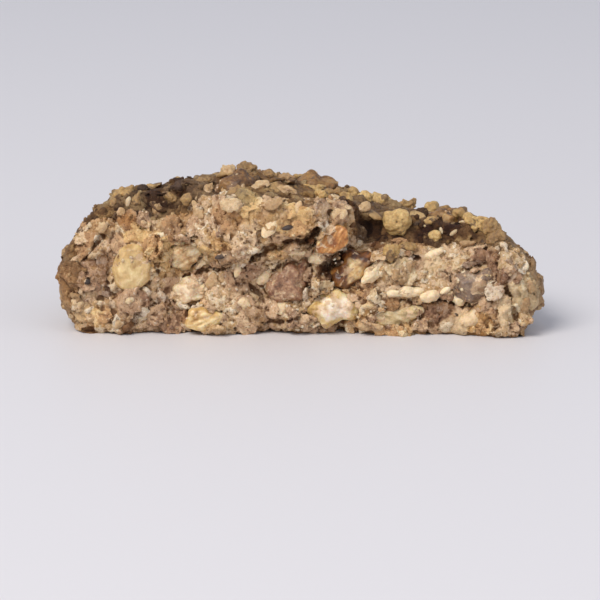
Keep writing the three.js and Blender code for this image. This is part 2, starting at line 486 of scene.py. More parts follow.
# the colour that each zone multiplies by, where its mark starts to tell and is full, and the most it does
zoneTints = {
    "gold": ("fff0d0", 0.15, 0.9, 0.85),
    "mauve": ("e4dcda", 0.15, 0.9, 0.95),
    "shade": ("d4c9c6", 0.15, 0.9, 0.95),
    "caramel": ("e2d1ba", 0.15, 0.9, 0.9),
    "scorch": ("c0a482", 0.2, 0.9, 0.9),
    "burnt": ("866642", 0.25, 0.85, 0.92),
}
doughLook = {
    "shine": 0.3,
    "inside": 0.12,                    # how much light goes inside, and how far
    "insideReach": 0.35 * mm,
    "bleed": (1.0, 0.55, 0.3),         # how it spreads there, by colour
    "tintShare": 0.62,                 # what the tone of each lump decides
    "blotchShare": 0.42,               # and what the blotches decide
    "sideTop": (9 * mm, 16 * mm),      # heights over which the side turns into the crust
    "underTop": (2.5 * mm, 0.3 * mm),  # and the foot into the underside
    "levelSway": 12 * mm,
    "zoneSway": 1.9,
    # the painted shade of tiny pores: where the fine blotches make it, and how strong
    "poreBand": (0.45, 0.30),
    "pores": 0.95,
    "fleckBand": (0.58, 0.70),
    "flecks": 0.7,
    "patchBand": (0.5, 0.66),
    "patches": 0.75,
    "roughness": (0.48, 0.82),
    "hollowDepth": (0.9, 0.3),         # how strong the painted shade in the hollows is, in plain crumb and where it is fleshy
    "grain": (1.5, 1.0),               # on the crust and on the crumb
}


def doughMaterial():
    material, tree, shader = newMaterial("bakedDough", Subsurface_Weight=doughLook["inside"],
                                         Subsurface_Scale=doughLook["insideReach"],
                                         Specular_IOR_Level=doughLook["shine"])
    shader.inputs["Subsurface Radius"].default_value = doughLook["bleed"]
    place = placeOf(tree)
    mottle = groupNode(tree, mottleGroup, Place=place)
    height = tree.nodes.new("ShaderNodeSeparateXYZ")
    tree.links.new(place, height.inputs[0])

    def swayed(name, low, high, sway, most=1.0):  # a mark whose border wanders with the blotches
        wander = swing(tree, weighted(tree, mottle["Middle"], 0.6, mottle["Fine"], 0.4), sway)
        share = between(tree, plus(tree, marked(tree, name), wander), low, high, 0.0, most)
        return times(tree, share, between(tree, marked(tree, name), 0.0, 0.25))

    even = weighted(tree, mottle["Middle"], 0.6, mottle["Grains"], 0.4)
    pick = weighted(tree, marked(tree, "tint"), doughLook["tintShare"], even, doughLook["blotchShare"])
    crumb, crust, side, under = [rampOf(tree, pick, doughTones[name])
                                 for name in ("crumb", "crust", "side", "under")]
    level = plus(tree, height.outputs["Z"], swing(tree, mottle["Broad"], doughLook["levelSway"]))
    crust = blend(tree, between(tree, level, *doughLook["sideTop"]), side, crust)
    crust = blend(tree, between(tree, level, *doughLook["underTop"]), crust, under)
    torn = swayed("torn", 0.35, 0.6, 0.9)
    colour = blend(tree, torn, crust, crumb)

    # painted shade: dark specks where the fine blotches dip, the shade inside tiny pores
    pores = between(tree, mottle["Fine"], *doughLook["poreBand"], 0.0, doughLook["pores"])
    colour = tinted(tree, pores, colour, hexColour(doughTones["pore"]))
    flecks = between(tree, mottle["Fine"], *doughLook["fleckBand"], 0.0, doughLook["flecks"])
    flecks = times(tree, flecks, marked(tree, "torn"))
    colour = blend(tree, flecks, colour, hexColour(doughTones["fleck"]))
    patches = between(tree, mottle["Broad"], *doughLook["patchBand"], 0.0, doughLook["patches"])
    colour = tinted(tree, patches, colour, hexColour(zoneTints["mauve"][0]))
    smeared = blend(tree, mottle["Middle"], colour, hexColour(doughTones["flesh"]))
    colour = blend(tree, swayed("flesh", 0.2, 0.9, 1.5, 0.85), colour, smeared)
    for name, (code, low, high, most) in zoneTints.items():
        share = swayed(name, low, high, doughLook["zoneSway"], most)
        colour = tinted(tree, share, colour, hexColour(code))
    # painted shade: the colour darkens in the hollows, less where the crumb is fleshy
    shaded = groupNode(tree, creviceShadeGroup, Colour=colour, Hollow=marked(tree, "hollow"),
                       Dark=hexColour(doughTones["hollow"]),
                       Depth=between(tree, marked(tree, "flesh"), 0, 0.7, *doughLook["hollowDepth"]))
    rough = between(tree, mottle["Fine"], 0.2, 0.8, *doughLook["roughness"])
    dressShader(tree, shader, shaded["Colour"], rough, between(tree, torn, 0, 1, *doughLook["grain"]))
    return material


def clingOn(tree, mottle, colour, edge):
    low, high = doughTones[edge]
    return groupNode(tree, edgeGroup, Colour=colour, Edge=marked(tree, "edge"), Fine=mottle["Fine"],
                     Grains=mottle["Grains"], Low=hexColour(low), High=hexColour(high))["Colour"]


bitLooks = {
    "creamGrain": {"tones": [(0.0, "c09a70"), (0.3, "dcbd92"), (0.6, "eed6ae"), (1.0, "fbeed8")],
                   "rough": (0.38, 0.6), "bleed": 0.4, "grain": 0.3},
    "oliveFlake": {"tones": [(0.0, "8e6c48"), (0.4, "b89468"), (0.75, "d3b286"), (1.0, "e8d2aa")],
                   "rough": (0.45, 0.75), "bleed": 0.2, "grain": 0.6},
    # the granules get a darker painted shade in their hollows
    "toastedGranule": {"tones": [(0.0, "6a4e2e"), (0.3, "96744a"), (0.6, "bc985e"), (0.8, "d6b478"),
                                 (1.0, "e6d0a0")], "rough": (0.4, 0.7), "bleed": 0.3, "grain": 0.6,
                       "spread": 0.45, "hollow": "4e3420", "edge": "crustEdge"},
    "burntBit": {"tones": [(0.0, "2e1f14"), (0.6, "523a28"), (1.0, "7a5c40")],
                 "rough": (0.6, 0.85), "bleed": 0.0, "grain": 0.8, "edge": "crustEdge"},
    "darkSeed": {"tones": [(0.0, "221c1a"), (0.6, "40332c"), (1.0, "6a5444")],
                 "rough": (0.5, 0.7), "bleed": 0.0, "grain": 0.3},
    "paleSeed": {"tones": [(0.0, "b0936a"), (1.0, "dcc8a4")],
                 "rough": (0.4, 0.6), "bleed": 0.3, "grain": 0.3},
    "brownedOat": {"tones": [(0.0, "7d5c38"), (0.4, "a68252"), (0.75, "c3a06b"), (1.0, "d6b987")],
                   "rough": (0.5, 0.75), "bleed": 0.12, "grain": 0.5, "edge": "crustEdge"},
}
softBleed = (1.0, 0.6, 0.3)
# the colour of the painted shade in a piece's hollows, and how strong it is
bitDefaults = {"spread": 0.6, "hollow": "70503a", "edge": "crumbEdge", "hollowDepth": 0.8,
               "bleedReach": 0.9 * mm, "fineSway": 0.8}


def bitMaterial(name):  # for the small pieces: each has its own tone, with finer blotches over it
    look = {**bitDefaults, **bitLooks[name]}
    spread = look["spread"]
    material, tree, shader = newMaterial(name, Subsurface_Weight=look["bleed"],
                                         Subsurface_Scale=look["bleedReach"])
    shader.inputs["Subsurface Radius"].default_value = softBleed
    mottle = groupNode(tree, mottleGroup, Place=placeOf(tree))
    pick = weighted(tree, marked(tree, "tint"), spread, mottle["Middle"], 1.0 - spread)
    pick = plus(tree, pick, swing(tree, mottle["Fine"], look["fineSway"]))
    colour = clingOn(tree, mottle, rampOf(tree, pick, look["tones"]), look["edge"])
    # painted shade in the piece's hollows
    shaded = groupNode(tree, creviceShadeGroup, Colour=colour, Hollow=marked(tree, "hollow"),
                       Dark=hexColour(look["hollow"]), Depth=look["hollowDepth"])
    rough = between(tree, mottle["Fine"], 0.2, 0.8, *look["rough"])
    dressShader(tree, shader, shaded["Colour"], rough, look["grain"])
    return material


# where the dough is torn and where it is baked

tear = {
    "leftBand": -38.2 * mm,   # the baked rim shows left of this
    "rightBand": 37.4 * mm,   # and right of this
    "leftTop": 19.5 * mm,     # height up to which the face is torn, left of the slab
    "slabTop": 25.2 * mm,     # on the slab
    "rightTop": 14.8 * mm,    # right of the slab
    "slabFrom": -17 * mm,
    "slabTo": 8.5 * mm,
    "footBand": 0.9 * mm,     # the browned foot of the face
}

# Places on the break are given as they are seen from the front and a little above: x to the right
# and z up the break, in millimetres. Further back, things are seen higher by this slope.
sight = {"slope": math.tan(math.radians(view["elevation"])), "breakY": -20 * mm, "from": 60 * mm}
sightLine = Vector((0, 1, -sight["slope"])).normalized()


def seenPlace(place):
    return place.x / mm, (place.z + (place.y - sight["breakY"]) * sight["slope"]) / mm


def seenPoint(surface, x, z):  # the point met at a seen place, or at the outline right below it
    hit = False
    while not hit:
        start = Vector((x * mm, sight["breakY"], z * mm)) - sightLine * sight["from"]
        hit, place, normal, face = surface.ray_cast(start, sightLine)
        z -= 0.3
    return place, normal


# soft round zones with a colour of their own: seen x and z, and reach
zones = {
    "mauve": [
        (-34, 11, 5.5), (-22, 4.5, 6.5), (-10.5, 10, 3), (-13.5, 13.6, 2), (31, 11, 5.5), (23, 4.8, 5),
        (-7, 3.5, 4), (-30, 6, 5), (19, 12.5, 3), (32, 4, 3.5),
    ],
    "gold": [
        (-8, 28, 6), (2, 26.5, 4), (-22, 14, 6.5), (-28, 17.5, 4), (-35, 3.0, 4), (-17, 2.5, 5),
        (-9, 21.5, 4), (-1, 19.5, 5), (8.5, 5, 5), (-14, 14.8, 3.5), (10, 12, 5), (15, 2, 5),
        (-4, 13.5, 3), (30, 2, 4),
    ],
    "shade": [
        (31, 12.6, 4.2), (33.6, 10.5, 2.8), (22.5, 4.8, 3.4), (-12.5, 12.8, 1.8), (-20.2, 8.6, 2.2),
        (-31.5, 9.0, 2.6), (-8.4, 10.6, 1.4), (10.5, 5.6, 1.6), (-34.5, 13.5, 2.4), (-24, 5.5, 2),
    ],
    "flesh": [
        (-21.5, 14.2, 4.2), (-27.5, 17.0, 3.0), (-15.5, 13.6, 2.2), (-28.8, 12, 4.4), (-8.5, 22.5, 3.2),
        (-3.8, 20.2, 2.6), (-11.5, 26.2, 2.0), (16.5, 11.2, 3.4), (22, 12.4, 3.0), (5.5, 6.5, 4.2),
        (-16.8, 3.2, 3.0), (-36, 4, 2.4), (26.5, 2.0, 3.0), (37.5, 7.5, 3.6), (35, 4.0, 2.6),
        (-0.6, 20.6, 2.8),
    ],
    "burnt": [
        (-31.5, 21.2, 1.9), (-25, 24.4, 2.6), (-20.7, 25.6, 2.2), (11.8, 24.6, 2.2), (12.2, 18.8, 2.8),
        (20.6, 17.8, 2.8), (-18.6, 22.8, 1.4), (26.3, 19.3, 1.6), (13.2, 16.4, 1.6), (7.5, 22.0, 1.8),
        (2.5, 17.4, 1.8), (3.0, 11.0, 1.4), (-29.5, 1.8, 1.2), (16.5, 16.8, 1.6), (-28, 22.2, 1.6),
        (1.5, 16.0, 1.4), (-14, 12.6, 1.2), (18.9, 20.6, 1.2), (24.9, 18.4, 1.4),
    ],
    "caramel": [
        (-20.3, 20.2, 3.4), (-40, 9, 5.0), (-38, 15, 3.0), (0.2, 22.8, 1.8), (8.5, 20, 3.5), (28, 19, 5),
        (-34, 20, 4), (18, 18, 6), (-13.5, 27.5, 2.5), (-2.5, 25, 2.5), (4.5, 24.5, 2), (-5.0, 21.5, 2.4),
        (-12, 20, 3.6),
    ],
}

# the darkest places of the bake: x, y, z and reach in millimetres
scorches = [
    (-30, -17, 21, 4.2), (-23, -16, 24, 4.2), (23, -12, 17, 5), (13, -8, 22, 5), (-19, -18, 22, 3),
    (31, -10, 16, 5), (-5, 12, 22, 8), (-24, 4, 22, 7), (16, 12, 18, 7), (11.5, -16, 18, 4),
]

# cracks in the break: half width, depth, and the seen places they run through
cracks = [
    (0.8, 2.2, [(-8.4, 13.1), (-6.0, 14.9), (-3.4, 15.0), (-1.2, 16.3), (0.9, 16.4), (2.4, 17.8)]),
    (0.45, 0.9, [(-17.4, 11.2), (-13.6, 11.4), (-11.4, 12.9), (-8.4, 13.1)]),
    (0.4, 1.2, [(34.6, 8.0), (35.4, 5.5), (35.8, 3.6), (36.8, 1.6)]),
    (0.5, 1.0, [(-33.6, 17.2), (-35.4, 14.4), (-37.2, 12.4)]),
    (0.5, 1.2, [(10.2, 9.6), (13.0, 12.6), (16.2, 13.4), (19.6, 13.6)]),
    (0.4, 1.0, [(19.4, 5.9), (23.5, 6.0), (27.6, 5.2)]),
    (0.35, 0.8, [(-24.4, 17.0), (-23.9, 13.6), (-24.3, 10.6)]),
    (0.4, 0.9, [(-9.6, 12.2), (-9.0, 9.0), (-6.8, 6.6), (-5.6, 4.4)]),
    (0.35, 0.8, [(26.6, 15.0), (29.0, 14.7), (31.0, 15.0)]),
    (0.4, 0.9, [(-6.6, 2.2), (-1.4, 2.6), (1.0, 4.2)]),
    (2.6, 3.0, [(5.0, 11.6), (7.2, 13.6)]),  # the hole that the amber raisin lies in
]


def zoneShare(kind):
    def share(place, normal):
        x, z = seenPlace(place)
        most = 0.0
        for middleX, middleZ, reach in zones[kind]:
            away = math.hypot(x - middleX, z - middleZ)
            most = max(most, 1 - smoothStep(away, 0.35 * reach, reach))
        return most * (1 - smoothStep(place.y, -4 * mm, 4 * mm)) * (1 - smoothStep(-normal.z, 0.6, 0.9))
    return share


def scorchShare(place, normal):
    share = 0.0
    for x, y, z, reach in scorches:
        away = (place - Vector((x * mm, y * mm, z * mm))).length
        share = max(share, 1 - smoothStep(away, 0.2 * reach * mm, reach * mm))
    return share


def awayFromLine(x, z, line):  # distance to the nearest stretch of the line
    least = 99.0
    for (x1, z1), (x2, z2) in zip(line, line[1:]):
        along = ((x - x1) * (x2 - x1) + (z - z1) * (z2 - z1)) / ((x2 - x1) ** 2 + (z2 - z1) ** 2)
        along = min(max(along, 0), 1)
        least = min(least, math.hypot(x - x1 - along * (x2 - x1), z - z1 - along * (z2 - z1)))
    return least


crackedTo = -9 * mm  # the break lies in front of this
crackSway = {"reach": 0.6, "fine": 1.1 * mm, "broad": 3.0 * mm}


def cutCracks(obj):
    for v, normal in zip(obj.data.vertices, normalsOf(obj)):
        if v.co.y > crackedTo or normal.y > 0.2:
            continue
        x, z = seenPlace(v.co)
        wobble = sum(crackSway["reach"] * noise.noise(v.co / crackSway[span]) for span in ("fine", "broad"))
        for half, depth, line in cracks:
            (lowX, lowZ), (highX, highZ) = [[pick(axis) for axis in zip(*line)] for pick in (min, max)]
            if lowX - 2 < x < highX + 2 and lowZ - 2 < z < highZ + 2:
                away = awayFromLine(x, z, line) + wobble
                if away < half:
                    v.co.y += depth * mm * (1 - smoothStep(away, 0.1 * half, half))


def tornTop(x):
    onSlab = smoothStep(x, tear["slabFrom"] - 5 * mm, tear["slabFrom"] + 3 * mm)
    past = smoothStep(x, tear["slabTo"] - 1.5 * mm, tear["slabTo"] + 1.5 * mm)
    left = tear["leftTop"] + (tear["slabTop"] - tear["leftTop"]) * onSlab
    return left + (tear["rightTop"] - left) * past


def tornShare(place, normal):
    left, right, top = tear["leftBand"], tear["rightBand"], tornTop(place.x)
    fromLeft = smoothStep(place.x, left - 1 * mm, left + 1 * mm)
    fromRight = 1 - smoothStep(place.x, right - 1 * mm, right + 1.5 * mm)
    # the walls of the pockets count, whichever way they face
    within = smoothStep(place.x, left + 1 * mm, left + 4 * mm)
    within *= 1 - smoothStep(place.x, right - 6 * mm, right - 2 * mm)
    within *= 1 - smoothStep(place.z, top - 3.5 * mm, top - 1.5 * mm)
    within *= smoothStep(place.z, 1.2 * mm, 2.4 * mm)
    facing = max(smoothStep(-normal.y, 0.15, 0.45), within)
    below = 1 - smoothStep(place.z, top - 0.8 * mm, top + 0.8 * mm)
    aboveFoot = smoothStep(place.z, 0.2 * mm, tear["footBand"])
    inFront = 1 - smoothStep(place.y, -15 * mm, -11 * mm)
    return facing * fromLeft * fromRight * below * aboveFoot * inFront


raisinNames = sorted(name for name in frame["nodes"] if name != "dough")
raisinBoxes = {name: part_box(name) for name in raisinNames}
raisinRooms = {name: ((low + high) / 2, (high - low) / 2) for name, (low, high) in raisinBoxes.items()}


def clearOfRaisins(place, margin):  # 0 on a raisin, rising to 1 past the margin
    share = 1.0
    for middle, half in raisinRooms.values():
        reach = Vector(((place[n] - middle[n]) / (half[n] + margin) for n in range(3))).length
        share = min(share, smoothStep(reach, 0.8, 1.0))
    return share


def setMark(obj, name, values):  # an attribute with one value for each point
    layer = obj.data.attributes.get(name) or obj.data.attributes.new(name, "FLOAT", "POINT")
    layer.data.foreach_set("value", values)


def readMark(obj, name):
    values = [0.0] * len(obj.data.vertices)
    obj.data.attributes[name].data.foreach_get("value", values)
    return values


def mark(obj, name, rule):  # worked out from each point's place and normal
    setMark(obj, name, [rule(v.co, v.normal) for v in obj.data.vertices])


def markAll(obj, name, value):
    setMark(obj, name, [value] * len(obj.data.vertices))


def markHollowsForShade(obj, rounds, reach):
    # compares each point with a smoothed copy: above one half stands proud, below it is a hollow, into which
    # shade is painted
    smoothed = copyOf(obj)
    soften = smoothed.modifiers.new("soften", "SMOOTH")
    soften.factor = 0.5
    soften.iterations = rounds
    applyAll(smoothed)
    setMark(obj, "hollow", [min(max(0.5 + (v.co - calm.co).dot(v.normal) / (2 * reach), 0), 1)
                            for v, calm in zip(obj.data.vertices, smoothed.data.vertices)])
    bpy.data.objects.remove(smoothed)


def groupFromMark(obj, name):  # a vertex group with a mark's values, for modifiers
    group = obj.vertex_groups.new(name=name + "Share")
    for index, value in enumerate(readMark(obj, name)):
        if value > 0.01:
            group.add([index], value, "REPLACE")
    return group.name


def keepAboveTable(obj):
    for v in obj.data.vertices:
        v.co.z = max(v.co.z, 0.0)


# scattered things

shapeRoom = bpy.data.collections.new("shapes")  # holds the shapes that are scattered, unseen
scene.collection.children.link(shapeRoom)


def newShapeSet(name):
    shapes = bpy.data.collections.new(name)
    shapeRoom.children.link(shapes)
    return shapes


def keepShape(obj, shapes):
    for holder in list(obj.users_collection):
        holder.objects.unlink(obj)
    shapes.objects.link(obj)
    obj.hide_render = True


def scatterNodes(name, surface, shapes, plan):
    tree = bpy.data.node_groups.new(name, "GeometryNodeTree")
    for side in ("INPUT", "OUTPUT"):
        tree.interface.new_socket("Geometry", in_out=side, socket_type="NodeSocketGeometry")

    def add(kind, values, **settings):  # a node, its settings, and what its sockets are given
        node = tree.nodes.new(kind)
        for key, setting in settings.items():
            setattr(node, key, setting)
        for socket, value in values.items():
            connect(tree, value, node.inputs[socket])
        return node.outputs

    def chance(kind, low, high, step):  # a random value for each point
        firstInput, output = {"FLOAT_VECTOR": (0, 0), "FLOAT": (2, 1), "INT": (4, 2)}[kind]
        ends = {firstInput: low, firstInput + 1: high, "Seed": plan["seed"] + step}
        return add("FunctionNodeRandomValue", ends, data_type=kind)[output]

    ground = add("GeometryNodeObjectInfo", {"Object": surface})
    mask = add("GeometryNodeInputNamedAttribute", {"Name": plan["mask"]}, data_type="FLOAT")
    points = add("GeometryNodeDistributePointsOnFaces", {
        "Mesh": ground["Geometry"], "Distance Min": plan["apart"], "Density Max": plan["perArea"],
        "Density Factor": mask["Attribute"], "Seed": plan["seed"],
    }, distribute_method="POISSON")
    sink = add("ShaderNodeVectorMath", {
        0: points["Normal"], "Scale": chance("FLOAT", -plan["sunk"][1], -plan["sunk"][0], 1),
    }, operation="SCALE")
    lower = add("GeometryNodeSetPosition", {"Geometry": points["Points"], "Offset": sink["Vector"]})
    kinds = add("GeometryNodeCollectionInfo", {
        "Collection": shapes, "Separate Children": True, "Reset Children": True,
    })
    tilt = math.radians(plan["tilt"])
    turn = chance("FLOAT_VECTOR", (-tilt, -tilt, -math.pi), (tilt, tilt, math.pi), 3)
    turned = add("FunctionNodeRotateRotation", {
        0: points["Rotation"], 1: add("FunctionNodeEulerToRotation", {0: turn})[0],
    }, rotation_space="LOCAL")
    bias = add("ShaderNodeMath", {  # more small ones than large ones
        0: chance("FLOAT", 0, 1, 4), 1: plan.get("bias", 1.6),
    }, operation="POWER")
    small, large = plan["size"]
    size = add("ShaderNodeMapRange", {"Value": bias[0], "To Min": small, "To Max": large})
    placed = add("GeometryNodeInstanceOnPoints", {
        "Points": lower["Geometry"], "Instance": kinds[0], "Pick Instance": True,
        "Instance Index": chance("INT", 0, 1000, 2), "Rotation": turned[0], "Scale": size["Result"],
    })
    toned = add("GeometryNodeStoreNamedAttribute", {
        "Geometry": placed["Instances"], "Name": "tint", "Value": chance("FLOAT", 0, 1, 5),
    }, data_type="FLOAT", domain="INSTANCE")
    real = add("GeometryNodeRealizeInstances", {"Geometry": toned["Geometry"]})
    add("NodeGroupOutput", {0: real["Geometry"]})
    return tree


def scatterOver(name, surface, shapes, plan):
    deselectAll()
    bpy.ops.mesh.primitive_plane_add(size=mm)
    piece = bpy.context.object
    piece.name = name
    nodes = piece.modifiers.new("scatter", "NODES")
    nodes.node_group = scatterNodes(name, surface, shapes, plan)
    bpy.ops.object.modifier_apply(modifier="scatter")
    print(f"  {name}: {len(piece.data.polygons)} faces")
    return piece


def lumpShapes(name, kinds, faces, jitter, flatten=0.8, calm=1):
    # rough little lumps about one unit across
    shapes = newShapeSet(name)
    for n in range(kinds):
        deselectAll()
        bpy.ops.mesh.primitive_ico_sphere_add(subdivisions=faces, radius=0.5)
        lump = bpy.context.object
        lump.name = f"{name}{n}"
        bpy.ops.object.mode_set(mode="EDIT")
        bpy.ops.mesh.select_all(action="SELECT")
        bpy.ops.transform.vertex_random(offset=jitter, uniform=0.5, normal=0.5, seed=n + 1)
        if calm:
            bpy.ops.mesh.vertices_smooth(factor=0.4, repeat=calm)
        bpy.ops.transform.resize(value=(1.15, 0.72 + 0.05 * n, flatten))
        bpy.ops.object.mode_set(mode="OBJECT")
        bpy.ops.object.shade_smooth()
        keepShape(lump, shapes)
    return shapes


crease = {"half": 0.12, "thickness": 0.55}


def flakeShapes(name, kinds, thick, jitter, curl, segments=10, length=1.25):
    # rolled-oat flakes about one unit across: thin, oval, a little curled, creased along the middle
    shapes = newShapeSet(name)
    for n in range(kinds):
        deselectAll()
        bpy.ops.mesh.primitive_uv_sphere_add(segments=segments, ring_count=6, radius=0.5)
        flake = bpy.context.object
        flake.name = f"{name}{n}"
        bpy.ops.object.mode_set(mode="EDIT")
        bpy.ops.mesh.select_all(action="SELECT")
        bpy.ops.transform.resize(value=(length, 0.85 + 0.06 * n, thick))
        bpy.ops.transform.vertex_random(offset=jitter, uniform=0.6, normal=0.2, seed=n + 11)
        bpy.ops.object.mode_set(mode="OBJECT")
        for v in flake.data.vertices:
            if abs(v.co.y) < crease["half"]:
                v.co.z *= crease["thickness"]
        bend = flake.modifiers.new("curl", "SIMPLE_DEFORM")
        bend.deform_method = "BEND"
        bend.deform_axis = "Y"
        bend.angle = math.radians(curl * (n - 1))
        applyAll(flake)
        bpy.ops.object.shade_smooth()
        keepShape(flake, shapes)
    return shapes


# the dough

dough = {
    "baseStep": 0.9 * mm,   # faces of the plain copy that things are scattered over
    "fineStep": 0.30 * mm,  # faces of the finished dough
    "mostFaces": 185000,    # triangles kept, mostly on the break
    "footTuck": 0.04,       # share by which the foot is narrower
    "footHeight": 1.6 * mm,
    "pits": 0.5 * mm,       # depth of the pits underneath
    "pitSpan": 1.9 * mm,
    "pitPatch": 7 * mm,     # they come in patches
    "patchSpan": 6 * mm,    # patches of finer and coarser crumb
    "tint": 0.5,
}


def doughBase():  # an even, smooth copy of the dough that carries the masks
    base = copyOfNode("dough", "doughBase")
    remeshAt(base, dough["baseStep"])
    smooth = base.modifiers.new("soften", "SMOOTH")
    smooth.factor = 0.5
    smooth.iterations = 3
    applyAll(base)
    for v in base.data.vertices:  # the foot goes in a little
        inward = 1 - dough["footTuck"] * (1 - smoothStep(v.co.z, 0, dough["footHeight"]))
        v.co.x *= inward
        v.co.y *= inward
    mark(base, "torn", tornShare)
    mark(base, "scorch", scorchShare)
    mark(base, "open", lambda place, normal: clearOfRaisins(place, 0.3 * mm))
    rows = list(zip(pointsOf(base), readMark(base, "torn"), readMark(base, "open")))
    setMark(base, "crumbly", [torn * clear for co, torn, clear in rows])
    setMark(base, "patchy", [
        torn * clear * (0.3 + 0.7 * smoothStep(noise.noise(co / dough["patchSpan"]), -0.25, 0.2))
        for co, torn, clear in rows])
    baked = [(1 - torn) * clear * smoothStep(co.z, 0.6 * mm, 2.0 * mm) for co, torn, clear in rows]
    setMark(base, "baked", baked)
    setMark(base, "topside", [
        share * smoothStep(co.z, 12 * mm, 16 * mm) * max(smoothStep(co.x, 2 * mm, 6 * mm),
                                                         smoothStep(co.y, -8 * mm, -2 * mm))
        for share, (co, torn, clear) in zip(baked, rows)])
    for kind in zones:
        mark(base, kind, zoneShare(kind))
    mark(base, "foot", lambda place, normal: smoothStep(-normal.y, 0.1, 0.4) * (
        1 - smoothStep(place.z, 1.6 * mm, 2.4 * mm)) * smoothStep(place.z, 0.2 * mm, 0.6 * mm))
    markAll(base, "tint", dough["tint"])
    return base


base = doughBase()
print("dough base:", len(base.data.polygons))

roughLumps = lumpShapes("roughLump", 6, 2, 0.18, flatten=0.7)
raggedLumps = lumpShapes("raggedLump", 6, 2, 0.14, flatten=0.6, calm=0)
plates = flakeShapes("plate", 5, 0.24, 0.08, curl=14)

mounds = scatterOver("mounds", base, roughLumps, {  # the large forms of the torn face
    "mask": "crumbly", "apart": 3.2 * mm, "perArea": 7e4, "seed": 3,
    "sunk": (1.9 * mm, 3.2 * mm), "tilt": 30, "size": (4.0 * mm, 8.0 * mm),
})
clumps = scatterOver("clumps", base, roughLumps, {
    "mask": "crumbly", "apart": 1.8 * mm, "perArea": 2e5, "seed": 5,
    "sunk": (0.3 * mm, 0.8 * mm), "tilt": 30, "size": (1.4 * mm, 3.0 * mm),
})
tornPlates = scatterOver("tornPlates", base, plates, {
    "mask": "crumbly", "apart": 1.2 * mm, "perArea": 4e5, "seed": 8,
    "sunk": (-0.2 * mm, 0.5 * mm), "tilt": 26, "size": (1.8 * mm, 4.4 * mm),
})
shreds = scatterOver("shreds", base, raggedLumps, {
    "mask": "patchy", "apart": 0.75 * mm, "perArea": 9e5, "seed": 13,
    "sunk": (-0.2 * mm, 0.4 * mm), "tilt": 35, "size": (0.7 * mm, 1.7 * mm),
})
crustLumps = scatterOver("crustLumps", base, roughLumps, {
    "mask": "baked", "apart": 1.9 * mm, "perArea": 2e5, "seed": 23,
    "sunk": (0.5 * mm, 1.5 * mm), "tilt": 30, "size": (2.0 * mm, 5.0 * mm),
})
crustPlates = scatterOver("crustPlates", base, plates, {
    "mask": "baked", "apart": 2.0 * mm, "perArea": 1.5e5, "seed": 33,
    "sunk": (-0.1 * mm, 0.6 * mm), "tilt": 35, "size": (1.8 * mm, 4.2 * mm),
})
footLumps = scatterOver("footLumps", base, raggedLumps, {  # the ragged lower edge of the break
    "mask": "foot", "apart": 0.9 * mm, "perArea": 9e5, "seed": 37,
    "sunk": (-0.2 * mm, 0.4 * mm), "tilt": 50, "size": (1.0 * mm, 3.0 * mm),
})


lapping = {
    "step": 0.5 * mm,
    "middleOf": (7 * mm, 13.5 * mm),      # x and z of the torn amber raisin, which is kept clear
    "clear": (4.5 * mm, 7 * mm),
}


def raisinSkirt():
    # small lumps where the raisins meet the dough, so that the dough laps over their edges
    whole = joinCopies("raisinsJoined", [copyOfNode(name, name + "Copy") for name in raisinNames])
    remeshAt(whole, lapping["step"])
    applyAll(whole)

    def nearDough(place, normal):
        found, nearest, outward, face = base.closest_point_on_mesh(place)
        above = (place - nearest).dot(outward)
        share = smoothStep(above, -0.5 * mm, 0.1 * mm) * (1 - smoothStep(above, 0.5 * mm, 1.0 * mm))
        for name, (middle, half) in raisinRooms.items():
            off = math.hypot((place.x - middle.x) / half.x, (place.z - middle.z) / half.z)
            if "break" in name and off < 0.8 and place.y < middle.y:
                share = 0.0
        return share

    def lapShare(place, normal):
        x, z = lapping["middleOf"]
        away = smoothStep(math.hypot(place.x - x, place.z - z), *lapping["clear"])
        return nearDough(place, normal) * (1 - smoothStep(place.y, -17 * mm, -14 * mm)) * away

    mark(whole, "edge", nearDough)
    mark(whole, "lap", lapShare)
    mark(whole, "torn", lambda place, normal: tornShare(place, Vector((0, -1, 0))))
    skirt = scatterOver("skirt", whole, raggedLumps, {
        "mask": "edge", "apart": 0.8 * mm, "perArea": 1.2e6, "seed": 91,
        "sunk": (0.0 * mm, 0.5 * mm), "tilt": 60, "size": (0.7 * mm, 2.0 * mm),
    })
    laps = scatterOver("laps", whole, raggedLumps, {
        "mask": "lap", "apart": 1.6 * mm, "perArea": 6e5, "seed": 97,
        "sunk": (-0.2 * mm, 0.5 * mm), "tilt": 40, "size": (1.6 * mm, 3.6 * mm),
    })
    bpy.data.objects.remove(whole)
    return joinCopies("skirt", [skirt, laps])


skirt = raisinSkirt()


